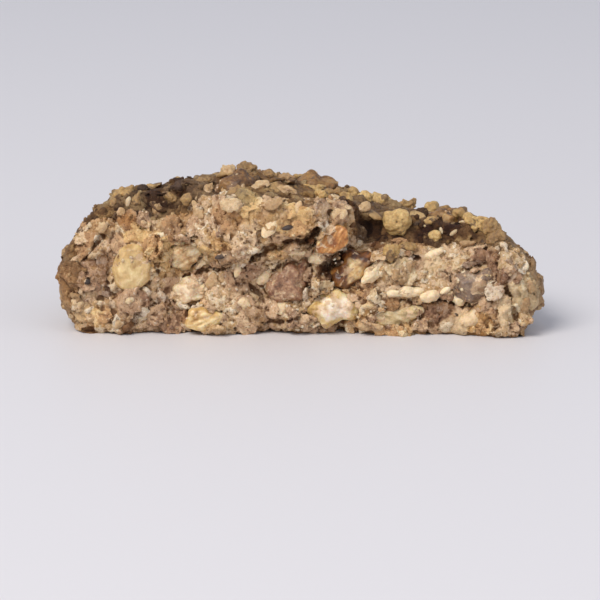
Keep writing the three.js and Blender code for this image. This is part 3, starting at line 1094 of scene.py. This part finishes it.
def doughBody():
    body = joinCopies("doughBody", [copyOf(base), mounds, clumps, tornPlates, shreds, skirt, crustLumps,
                                    crustPlates, footLumps])
    body.data.remesh_voxel_size = dough["fineStep"]
    body.data.use_remesh_preserve_attributes = True
    bpy.ops.object.voxel_remesh()
    cutCracks(body)
    share = groupFromMark(body, "torn")
    relief(body, "CLOUDS", 2.2 * mm, 0.8 * mm, noise_depth=3)
    relief(body, "CLOUDS", 0.8 * mm, 0.35 * mm, noise_depth=3)
    relief(body, "CLOUDS", 1.5 * mm, 0.2 * mm, middle=0.25, noise_basis="VORONOI_F2_F1", noise_depth=1)
    relief(body, "VORONOI", 1.1 * mm, -0.22 * mm, group=share, middle=0.3)
    applyAll(body)
    keepAboveTable(body)
    for v in body.data.vertices:  # the baked underside has small pits
        if v.co.z < 0.05 * mm:
            patches = 0.5 + noise.noise(v.co / dough["pitPatch"])
            v.co.z += dough["pits"] * patches * smoothStep(noise.noise(v.co / dough["pitSpan"]), 0.12, 0.5)
    thin = body.modifiers.new("fewerFaces", "DECIMATE")
    thin.ratio = min(1, dough["mostFaces"] / (2 * len(body.data.polygons)))
    thin.vertex_group = share
    thin.invert_vertex_group = True
    thin.vertex_group_factor = 2.0
    applyAll(body)
    bpy.ops.object.shade_smooth()
    # marks the hollows of the dough, where shade is painted
    markHollowsForShade(body, 16, 0.3 * mm)
    return body


body = doughBody()
print("dough body:", len(body.data.polygons))
doughFinish = doughMaterial()
finishPiece(body, doughFinish, "dough", "dough")


# what is in and on the dough

blobNoise = {"broad": 1.8 * mm, "broadShare": 5, "fine": 0.6 * mm, "fineShare": 2}


def newBlob(name, size, jitter, seed, dimple):  # a rounded piece of the given size
    deselectAll()
    bpy.ops.mesh.primitive_ico_sphere_add(subdivisions=4, radius=0.5)
    blob = bpy.context.object
    blob.name = name
    bpy.ops.object.mode_set(mode="EDIT")
    bpy.ops.mesh.select_all(action="SELECT")
    bpy.ops.transform.vertex_random(offset=jitter, uniform=0.3, normal=0.7, seed=seed)
    bpy.ops.mesh.vertices_smooth(factor=0.5, repeat=3)
    bpy.ops.object.mode_set(mode="OBJECT")
    for v, normal in zip(blob.data.vertices, normalsOf(blob)):
        if v.co.z > 0:
            v.co.z -= dimple * (1 - smoothStep(math.hypot(v.co.x, v.co.y), 0.02, 0.1))
        v.co = Vector([value * full * mm for value, full in zip(v.co, size)])
        bulge = blobNoise["broadShare"] * noise.noise(v.co / blobNoise["broad"] + Vector((seed, 0, 0)))
        bulge += blobNoise["fineShare"] * noise.noise(v.co / blobNoise["fine"])
        v.co += normal * jitter * bulge * min(size) * mm
    bpy.ops.object.shade_smooth()
    return blob


def setInBreak(name, places, jitter, dimple=0.0, faceOut=0.5):
    parts = []
    for number, (x, z, length, width, thick, turn, proud, *tone) in enumerate(places):
        blob = newBlob(f"{name}{number}", (length, width, thick), jitter, number + 1, dimple)
        place, normal = seenPoint(body, x, z)
        outward = (normal.lerp(-sightLine, faceOut)).normalized()
        facing = outward.to_track_quat("Z", "Y")
        spin = Quaternion((0, 0, 1), math.radians(turn))
        middle = place + outward * (proud - thick / 2) * mm
        blob.matrix_world = Matrix.LocRotScale(middle, facing @ spin, None)
        activate(blob)
        bpy.ops.object.transform_apply(location=True, rotation=True, scale=True)
        markAll(blob, "tint", tone[0] if tone else (number * 0.37 + 0.2) % 1)
        parts.append(blob)
    return parts


def markEdge(obj, low, high):  # 1 where it goes into the dough, 0 where it stands clear
    shares = []
    for v in obj.data.vertices:
        found, nearest, outward, face = body.closest_point_on_mesh(v.co, distance=2 * mm)
        shares.append(1 - smoothStep((v.co - nearest).dot(outward), low, high) if found else 0)
    setMark(obj, "edge", shares)


def finishBits(name, parts, material, edge=(0.0, 0.45 * mm)):
    piece = joinCopies(name, parts) if len(parts) > 1 else parts[0]
    keepAboveTable(piece)
    if edge:
        markEdge(piece, *edge)
    # marks the hollows of the pieces, where shade is painted
    markHollowsForShade(piece, 3, 0.15 * mm)
    finishPiece(piece, material, "dough")
    print(f"  {name}: {len(piece.data.polygons)} faces")


oatShapes = flakeShapes("oat", 6, 0.17, 0.03, curl=30, segments=12, length=1.3)
granuleShapes = lumpShapes("granule", 6, 2, 0.08, flatten=0.75)
crumbShapes = lumpShapes("crumb", 6, 1, 0.10)

# places in and on the break: seen x and z, length, width, thickness, turn in degrees, how far it stands
# proud, and its tone from 0 to 1 where that matters
creamGrains = [
    (12.2, 11.0, 6.8, 2.5, 2.6, 46, 1.9, 0.55), (17.2, 7.6, 7.0, 1.8, 2.0, 3, 1.5, 0.6),
    (21.5, 6.9, 3.6, 1.8, 1.8, 18, 1.2, 0.5), (26.8, 6.7, 2.7, 2.4, 1.9, 30, 1.0, 0.6),
    (24.2, 7.8, 2.2, 1.0, 1.2, 28, 0.5), (-1.1, 14.5, 3.6, 1.5, 1.6, -4, 1.1, 0.4),
    (2.8, 13.6, 3.5, 2.1, 2.0, 36, 1.3, 0.6), (-5.1, 9.8, 2.4, 1.2, 1.2, 82, 0.5),
    (-5.4, 18.8, 4.4, 2.2, 1.0, 62, 0.2, 0.3), (22.3, 14.3, 3.6, 1.5, 1.2, 20, 0.5),
    (-28.9, 6.2, 1.8, 1.4, 1.0, 30, 0.3, 0.3), (28.6, 2.9, 4.6, 2.6, 1.6, 35, 0.7),
    (-23.5, 17.3, 2.4, 1.0, 0.9, 10, 0.4), (-0.6, 22.0, 2.4, 1.2, 0.9, 70, 0.4),
    (-6.3, 10.4, 3.6, 1.9, 1.6, 62, 0.8, 0.4), (-3.6, 5.0, 3.2, 2.4, 1.8, 20, 0.6, 0.35),
    (-9.8, 5.6, 2.8, 2.0, 1.6, -40, 0.6, 0.3), (-10.8, 11.4, 2.8, 1.1, 1.3, 80, 0.7, 0.4),
]
oliveFlakes = [
    (16.9, 10.7, 4.5, 3.1, 2.0, 32, 0.8), (-15.2, 8.8, 4.2, 1.8, 1.0, 86, 0.5),
    (-11.8, 22.6, 3.8, 2.2, 1.0, 12, 0.4), (-4.7, 22.8, 3.4, 1.9, 0.9, 15, 0.4),
    (-17.4, 21.7, 3.6, 1.7, 0.9, -62, 0.7), (-24.3, 21.9, 2.2, 1.5, 0.9, 70, 0.7),
    (-30.4, 21.4, 1.5, 1.2, 0.8, 50, 0.6), (11.6, 1.5, 4.4, 1.5, 1.2, 2, 0.5),
    (28.0, 16.2, 2.7, 0.9, 1.0, 5, 0.7), (-23.6, 19.2, 1.8, 1.4, 0.9, 20, 0.6),
    (-37.6, 5.3, 2.4, 2.2, 1.4, 40, 0.5), (-35.3, 3.0, 1.7, 1.5, 1.0, 0, 0.5),
    (-31.0, 1.9, 2.2, 1.3, 1.0, 10, 0.5), (37.6, 5.2, 3.0, 1.4, 0.8, 75, 0.4),
    (38.6, 8.6, 1.4, 2.2, 0.8, 20, 0.4), (-12.8, 28.0, 3.0, 3.2, 2.4, 30, 2.0),
    (-2.5, 27.4, 2.8, 2.0, 2.0, 0, 1.2), (-2.6, 24.9, 3.8, 2.2, 1.0, -10, 0.6),
    (-7.0, 25.8, 3.4, 2.0, 1.0, 20, 0.6), (-11.0, 24.8, 2.6, 1.8, 0.9, -20, 0.5),
    (10.4, 22.2, 2.4, 1.6, 1.0, 30, 0.8), (6.2, 21.0, 3.2, 1.8, 0.9, 15, 0.6),
    (-15.8, 25.4, 2.6, 1.8, 1.0, 50, 0.7), (-33.6, 18.6, 2.2, 1.4, 0.8, 60, 0.4),
]
toastedGrains = [
    (5.5, 24.6, 3.2, 2.8, 2.4, 20, 0.6), (8.5, 24.6, 2.6, 2.4, 2.2, 0, 1.6),
    (14.2, 24.6, 3.7, 3.3, 2.8, 15, 2.4), (18.3, 23.0, 3.4, 2.7, 2.6, 5, 2.0),
    (22.0, 22.6, 3.9, 2.2, 2.2, 4, 1.7), (24.6, 21.8, 2.6, 2.3, 2.0, 30, 1.6),
    (27.4, 21.4, 2.6, 2.2, 2.2, 0, 1.9), (29.8, 21.2, 4.2, 3.4, 3.6, -8, 2.7),
    (32.2, 20.2, 2.8, 2.4, 2.6, -20, 2.0), (22.0, 20.1, 2.6, 1.7, 1.8, 10, 0.9),
    (22.8, 16.9, 2.1, 2.1, 1.8, 60, 0.9), (18.0, 15.2, 2.5, 2.2, 1.9, 0, 0.8),
    (15.0, 14.3, 2.9, 2.6, 2.0, 20, 0.9), (32.9, 16.6, 3.0, 2.7, 2.2, 40, 0.9),
    (-30.2, 24.6, 3.6, 3.0, 2.4, 65, 1.3), (2.2, 25.6, 4.2, 2.2, 2.2, -12, 1.0),
    (-9.6, 28.6, 4.6, 3.4, 3.0, 8, 2.3), (0.6, 27.4, 4.4, 2.4, 2.4, -14, 1.6),
    (3.1, 24.0, 2.4, 2.8, 2.0, 0, 0.5), (-5.8, 28.0, 2.6, 1.8, 1.8, 0, 0.5),
    (7.4, 23.8, 2.0, 2.8, 1.8, 10, 0.7), (11.0, 25.2, 2.4, 1.9, 1.8, 0, 1.4),
    (-27.8, 23.6, 2.6, 1.7, 1.4, 70, 0.8, 0.1), (-22.6, 24.2, 3.0, 1.6, 1.4, -30, 0.7, 0.15),
    (-19.0, 23.8, 2.8, 2.0, 1.4, 20, 0.6, 0.2), (-31.8, 23.2, 2.2, 1.6, 1.4, 50, 0.7, 0.2),
    (-16.8, 27.0, 2.8, 1.8, 1.6, 15, 0.9, 0.2),
]
discGrains = [(16.1, 19.7, 5.0, 4.6, 3.2, 25, 1.9, 0.85)]
burntBits = [
    (-26.6, 25.6, 2.2, 1.6, 1.8, 0, 1.0), (-20.9, 25.8, 3.2, 1.6, 2.0, 0, 1.0),
    (11.6, 24.8, 2.6, 1.6, 1.8, 20, 0.8), (-31.6, 20.8, 1.2, 1.6, 1.2, 0, 0.2),
    (6.8, 23.6, 1.4, 1.0, 1.2, 0, 0.4), (19.8, 19.4, 1.6, 1.0, 1.2, 0, 0.3),
    (-25.2, 22.8, 1.4, 1.0, 1.0, 10, 0.3),
]
darkSeeds = [
    (-36.0, 9.4, 1.3, 1.2, 1.3, 0, 0.8), (-2.4, 18.5, 2.2, 0.9, 1.1, 8, 0.7),
    (-13.4, 13.8, 2.6, 0.9, 1.0, 22, 0.6), (-14.8, 11.6, 1.8, 0.8, 0.9, -8, 0.6),
    (-17.9, 12.3, 0.8, 0.7, 0.7, 0, 0.4), (26.0, 3.6, 0.9, 0.6, 0.7, 0, 0.3),
]
paleSeeds = [
    (25.9, 18.0, 1.7, 0.8, 0.8, 42, 0.4), (27.4, 19.8, 1.5, 0.6, 0.7, 8, 0.4),
    (23.7, 18.3, 1.3, 0.6, 0.7, 110, 0.4), (20.9, 19.1, 0.5, 0.5, 0.5, 0, 0.3),
    (-29.2, 23.2, 1.9, 0.9, 0.9, 78, 0.6), (37.2, 2.0, 1.0, 0.7, 0.6, 20, 0.3),
]

finishBits("creamGrains", setInBreak("creamGrain", creamGrains, 0.05), bitMaterial("creamGrain"),
           (-0.2 * mm, 0.2 * mm))
finishBits("oliveFlakes", setInBreak("oliveFlake", oliveFlakes, 0.1), bitMaterial("oliveFlake"))
toasted = setInBreak("toastedGrain", toastedGrains, 0.09, dimple=0.03, faceOut=0.7)
discs = setInBreak("discGrain", discGrains, 0.04, dimple=0.09, faceOut=0.9)
backGranules = scatterOver("backGranules", base, granuleShapes, {
    "mask": "topside", "apart": 6.5 * mm, "perArea": 1.8e4, "seed": 71,
    "sunk": (0.9 * mm, 1.7 * mm), "tilt": 30, "size": (2.4 * mm, 4.6 * mm), "bias": 1.0,
})
finishBits("granules", toasted + discs + [backGranules], bitMaterial("toastedGranule"))
finishBits("burntBits", setInBreak("burntBit", burntBits, 0.08), bitMaterial("burntBit"))
finishBits("darkSeeds", setInBreak("darkSeed", darkSeeds, 0.03), bitMaterial("darkSeed"))
finishBits("paleSeeds", setInBreak("paleSeed", paleSeeds, 0.03), bitMaterial("paleSeed"))

crumbs = scatterOver("crumbs", body, crumbShapes, {
    "mask": "patchy", "apart": 0.5 * mm, "perArea": 1.0e6, "seed": 51,
    "sunk": (0.0 * mm, 0.3 * mm), "tilt": 80, "size": (0.4 * mm, 1.2 * mm), "bias": 2.2,
})
finishBits("crumbs", [crumbs], doughFinish, None)

crustCrumbs = scatterOver("crustCrumbs", body, crumbShapes, {
    "mask": "baked", "apart": 0.65 * mm, "perArea": 5e5, "seed": 61,
    "sunk": (0.0 * mm, 0.35 * mm), "tilt": 80, "size": (0.5 * mm, 1.7 * mm), "bias": 2.0,
})
finishBits("crustCrumbs", [crustCrumbs], doughFinish, None)

browned = scatterOver("brownedOats", base, oatShapes, {
    "mask": "baked", "apart": 6.0 * mm, "perArea": 2.0e4, "seed": 81,
    "sunk": (-0.3 * mm, 0.3 * mm), "tilt": 30, "size": (2.6 * mm, 4.4 * mm), "bias": 1.0,
})
finishBits("brownedOats", [browned], bitMaterial("brownedOat"))


# raisins

raisinTones = {  # skin and torn flesh, from their darkest to their lightest tone
    "paleYellow": (["9c784c", "c29e66", "d8b880", "e8d0a0"], ["b08c58", "d0b078", "e4ca94", "f8ecc8"]),
    "orangeTan": (["a87c4e", "d0a874", "e4c694", "f4e0b8"], ["b88a58", "dab888", "ecd2a2", "f8e8c4"]),
    "creamFlesh": (["b08a60", "d4b282", "e8d0a6", "f6e8cc"], ["c49e74", "e0c09a", "f0dcb8", "fbf0dc"]),
    "goldenFoot": (["946c38", "c09656", "d8b478", "ecd4a0"], ["a87c44", "d0aa6c", "e6ca94", "f2e2b8"]),
    "redBrown": (["5a3824", "8a5c40", "a87a56", "c49c78"], ["6c4a32", "9a7052", "ba9270", "e6ceac"]),
    "splitCream": (["a67f44", "cfac6a", "e4cb94", "f2e2b8"], ["c8a480", "e4c8a6", "f5e4cc", "fdf6ea"]),
    "amberTorn": (["2e180a", "5e3618", "905a2a", "b87e40"], ["b07c40", "d6ae74", "ecd09a", "f8e6be"]),
    "amberFibre": (["683412", "a06028", "c08442", "e2b478"], ["784018", "aa6c30", "cb9150", "f0cf9c"]),
    "oliveLong": (["8e7440", "bc9f66", "d6be8c", "ecdab4"], ["988050", "c4a878", "dec79a", "f0e2c2"]),
    "greyVein": (["4c3c32", "735d4c", "947a64", "b69e86"], ["5a4838", "7e6654", "9c846c", "beaa90"]),
    "darkTop": (["33200f", "5e3f22", "866034", "aa824a"], ["463020", "705032", "967044", "b69260"]),
    "rimGolden": (["4a3018", "765228", "997240", "b8945e"], ["5c3e20", "866236", "a8824e", "c8a878"]),
}

# finish, folds of the skin and finer creases (span and height in millimetres), share of torn flesh,
# direction of its fibres in degrees where it has some, and roughness of the grain
raisinLooks = {
    "raisin_break_left": ("paleYellow", 3.2, 1.1, 1.4, 0.35, 0.55, None, 0.12),
    "raisin_break_cheek": ("orangeTan", 2.4, 1.3, 1.0, 0.45, 0.9, 35, 0.3),
    "raisin_break_cream": ("creamFlesh", 2.4, 1.5, 1.0, 0.45, 0.8, None, 0.3),
    "raisin_break_foot": ("goldenFoot", 2.6, 0.9, 1.0, 0.3, 0.6, 20, 0.15),
    "raisin_break_mauve": ("redBrown", 2.8, 1.9, 0.9, 0.6, 0.85, None, 0.6),
    "raisin_break_split": ("splitCream", 2.8, 1.4, 1.1, 0.45, 0.62, None, 0.25),
    "raisin_break_amber": ("amberTorn", 2.6, 0.9, 1.0, 0.3, 0.6, 50, 0.15),
    "raisin_break_ledge": ("amberFibre", 2.2, 1.0, 1.0, 0.25, 0.9, 62, 0.15),
    "raisin_break_long": ("oliveLong", 3.0, 0.8, 1.2, 0.25, 0.7, -8, 0.2),
    "raisin_break_grey": ("greyVein", 2.6, 1.3, 1.2, 0.4, 0.8, None, 0.4),
}
raisinLooks |= dict.fromkeys(("raisin_top_left", "raisin_top_back"),
                             ("darkTop", 2.4, 1.1, 1.0, 0.4, 0.3, None, 0.2))
plainLook = ("rimGolden", 2.6, 1.3, 1.0, 0.5, 0.3, None, 0.2)
# how far in millimetres a raisin comes forward of the dough round it, where that isn't the usual 0.2
prouder = {"raisin_break_amber": 1.5, "raisin_break_long": 0.5, "raisin_break_grey": 0.5,
           "raisin_break_cheek": 0.6, "raisin_break_cream": 0.4}
# where a raisin is torn open: seen x and z, reach and depth, and the x from which its flesh shows
hollows = {"raisin_break_amber": (6.0, 12.2, 2.8, 0.9, 7.8)}
raisinSkin = {
    "inside": 0.4,              # how much light goes inside, and how far
    "insideReach": 1.0 * mm,
    "crumbEdge": (0.3, 0.36),   # coat, and roughness of the skin, in the break
    "crustEdge": (0.05, 0.5),   # and in the crust
    "coatRoughness": 0.3,
    "fleshRoughness": 0.58,
    "fibreSway": 0.35,          # what the fibres do to the tone
    "stops": (0.1, 0.36, 0.62, 0.9),
    # the colour and strength of the painted shade in the raisin's creases
    "hollow": "8a6240",
    "hollowDepth": 0.8,
}
raisinShape = {
    "lobeTurns": 1.3,           # the lobes round its outline
    "lobeHeight": 0.28,
    "squeeze": 1.1 * mm,        # over this depth it is pressed back at the break
    "strand": (1.8, 0.55),      # millimetres along and across a fibre
    "strandHeight": 0.25 * mm,
    "raggedSpan": 1.2 * mm,     # of the border between skin and flesh
    "ragged": 0.3,
    "whole": (-0.1 * mm, 0.35 * mm),   # how near the dough it is crusted over
    "tornOpen": (-0.8 * mm, -0.3 * mm),
}

skinOf = {entry["node"]: entry["material_slot"] for entry in frame["record"]["subparts"]}


def raisinMaterial(finish, grainHeight, edge):
    skin, flesh = raisinTones[finish]
    coat, roughness = raisinSkin[edge]
    material, tree, shader = newMaterial(finish + "Raisin", Subsurface_Weight=raisinSkin["inside"],
                                         Subsurface_Scale=raisinSkin["insideReach"], Coat_Weight=coat,
                                         Coat_Roughness=raisinSkin["coatRoughness"])
    shader.inputs["Subsurface Radius"].default_value = softBleed
    mottle = groupNode(tree, mottleGroup, Place=placeOf(tree))
    fine = 0.3 + 1.2 * grainHeight
    pick = weighted(tree, mottle["Middle"], 1.5, mottle["Fine"], fine)
    pick = calc(tree, "SUBTRACT", pick, 0.27 + fine / 2)
    pick = plus(tree, pick, swing(tree, marked(tree, "fibre"), raisinSkin["fibreSway"]))
    outside, opened = [rampOf(tree, pick, list(zip(raisinSkin["stops"], tones))) for tones in (skin, flesh)]
    colour = blend(tree, marked(tree, "flesh"), outside, opened)
    colour = clingOn(tree, mottle, colour, edge)
    # painted shade in the creases
    shaded = groupNode(tree, creviceShadeGroup, Colour=colour, Hollow=marked(tree, "hollow"),
                       Dark=hexColour(raisinSkin["hollow"]), Depth=raisinSkin["hollowDepth"])
    rough = between(tree, marked(tree, "flesh"), 0, 1, roughness, raisinSkin["fleshRoughness"])
    dressShader(tree, shader, shaded["Colour"], rough, grainHeight)
    return material


raisinSkins = {}


def pressBack(raisin, node, middle, half):  # hardly proud of the break
    x, z = seenPlace(middle)
    around = [seenPoint(body, x + 1.25 * cos * half.x / mm, max(z + 1.25 * sin * half.z / mm, 0.5))[0].y
              for cos, sin in ((1, 0), (0.7, 0.7), (0, 1), (-0.7, 0.7), (-1, 0), (-0.7, -0.7), (0.7, -0.7))]
    front = sorted(around)[2] - prouder.get(node, 0.2) * mm
    squeeze = raisinShape["squeeze"]
    for v in raisin.data.vertices:
        over = front - v.co.y
        if over > 0:
            v.co.y = front - squeeze * (1 - math.exp(-over / squeeze))


def dressRaisin(node):
    look = raisinLooks.get(node, plainLook)
    finish, folds, foldHeight, creases, creaseHeight, fleshShare, fibreTurn, grainHeight = look
    edge = "crumbEdge" if "break" in node else "crustEdge"
    middle, half = raisinRooms[node]
    raisin = copyOfNode(node, node.replace("_", "") + "Whole")
    smooth = raisin.modifiers.new("rounder", "SUBSURF")
    smooth.levels = smooth.render_levels = 3
    relief(raisin, "CLOUDS", folds * mm, foldHeight * mm, noise_depth=1)
    relief(raisin, "CLOUDS", creases * mm, creaseHeight * mm, noise_depth=2)
    applyAll(raisin)
    if "break" in node:
        pressBack(raisin, node, middle, half)
    lobeTurns = raisinShape["lobeTurns"]
    for v in raisin.data.vertices:
        sideways, upward = v.co.x - middle.x, v.co.z - middle.z
        away = max(math.hypot(sideways, upward), 0.1 * mm)
        lobe = noise.noise(Vector((lobeTurns * sideways / away, lobeTurns * upward / away, middle.x / mm)))
        lobe *= raisinShape["lobeHeight"]
        v.co.x += lobe * sideways
        v.co.z += lobe * upward
    fibres, openness = [], []
    alongSpan, acrossSpan = raisinShape["strand"]
    turn = math.radians(fibreTurn or 0)
    normals = normalsOf(raisin)
    for v, normal in zip(raisin.data.vertices, normals):
        x, z = seenPlace(v.co)
        along, across = x * math.cos(turn) + z * math.sin(turn), z * math.cos(turn) - x * math.sin(turn)
        strand = noise.noise(Vector((along / alongSpan, across / acrossSpan, v.co.y / mm / 2)))
        fibres.append(0.5 + (strand if fibreTurn is not None else 0))
        off = math.hypot((v.co.x - middle.x) / half.x, (v.co.z - middle.z) / half.z)
        off += raisinShape["ragged"] * noise.noise(v.co / raisinShape["raggedSpan"])
        skinned = smoothStep(off, fleshShare - 0.12, fleshShare + 0.12)
        openness.append(smoothStep(-normal.y, 0.1, 0.5) * (1 - skinned))
    for v, normal, strand, opened in zip(raisin.data.vertices, normals, fibres, openness):
        v.co += normal * (strand - 0.5) * raisinShape["strandHeight"] * opened
    if node in hollows:
        holeX, holeZ, reach, depth, fleshFrom = hollows[node]
        for v, normal in zip(raisin.data.vertices, normals):
            x, z = seenPlace(v.co)
            away = math.hypot(x - holeX, z - holeZ)
            sunk = (1 - smoothStep(away, 0.3 * reach, reach)) * smoothStep(-normal.y, 0, 0.4)
            v.co.y += depth * mm * sunk
        openness = [opened * smoothStep(v.co.x / mm, fleshFrom - 0.4, fleshFrom + 0.4)
                    for opened, v in zip(openness, raisin.data.vertices)]
    setMark(raisin, "fibre", fibres)
    setMark(raisin, "flesh", openness)
    bpy.ops.object.shade_smooth()
    keepAboveTable(raisin)
    # marks the creases of the raisin, where shade is painted
    markHollowsForShade(raisin, 20, 0.2 * mm)
    markEdge(raisin, *raisinShape["tornOpen" if node in hollows else "whole"])
    if finish not in raisinSkins:
        raisinSkins[finish] = raisinMaterial(finish, grainHeight, edge)
    finishPiece(raisin, raisinSkins[finish], skinOf[node], node)
    return raisin


wholeRaisins = [dressRaisin(node) for node in raisinNames]
print("raisins:", len(wholeRaisins))


def dustShare(place, normal):
    x, z = seenPlace(place)
    share = smoothStep(noise.noise(place / (1.9 * mm)), -0.1, 0.15)
    for holeX, holeZ, reach, *rest in hollows.values():
        share *= smoothStep(math.hypot(x - holeX, z - holeZ), 0.8 * reach, 1.2 * reach)
    return share


def dustRaisins():  # crumbs that cling to the raisins
    together = joinCopies("raisinSkins", [copyOf(raisin) for raisin in wholeRaisins])
    mark(together, "dusted", dustShare)
    dust = scatterOver("clingingCrumbs", together, crumbShapes, {
        "mask": "dusted", "apart": 0.6 * mm, "perArea": 7e5, "seed": 95,
        "sunk": (0.0 * mm, 0.3 * mm), "tilt": 80, "size": (0.4 * mm, 1.2 * mm), "bias": 1.8,
    })
    bpy.data.objects.remove(together)
    markAll(dust, "torn", 1.0)
    finishBits("clingingCrumbs", [dust], doughFinish, None)


dustRaisins()
bpy.data.objects.remove(base)
for helper in list(shapeRoom.all_objects):
    bpy.data.objects.remove(helper)
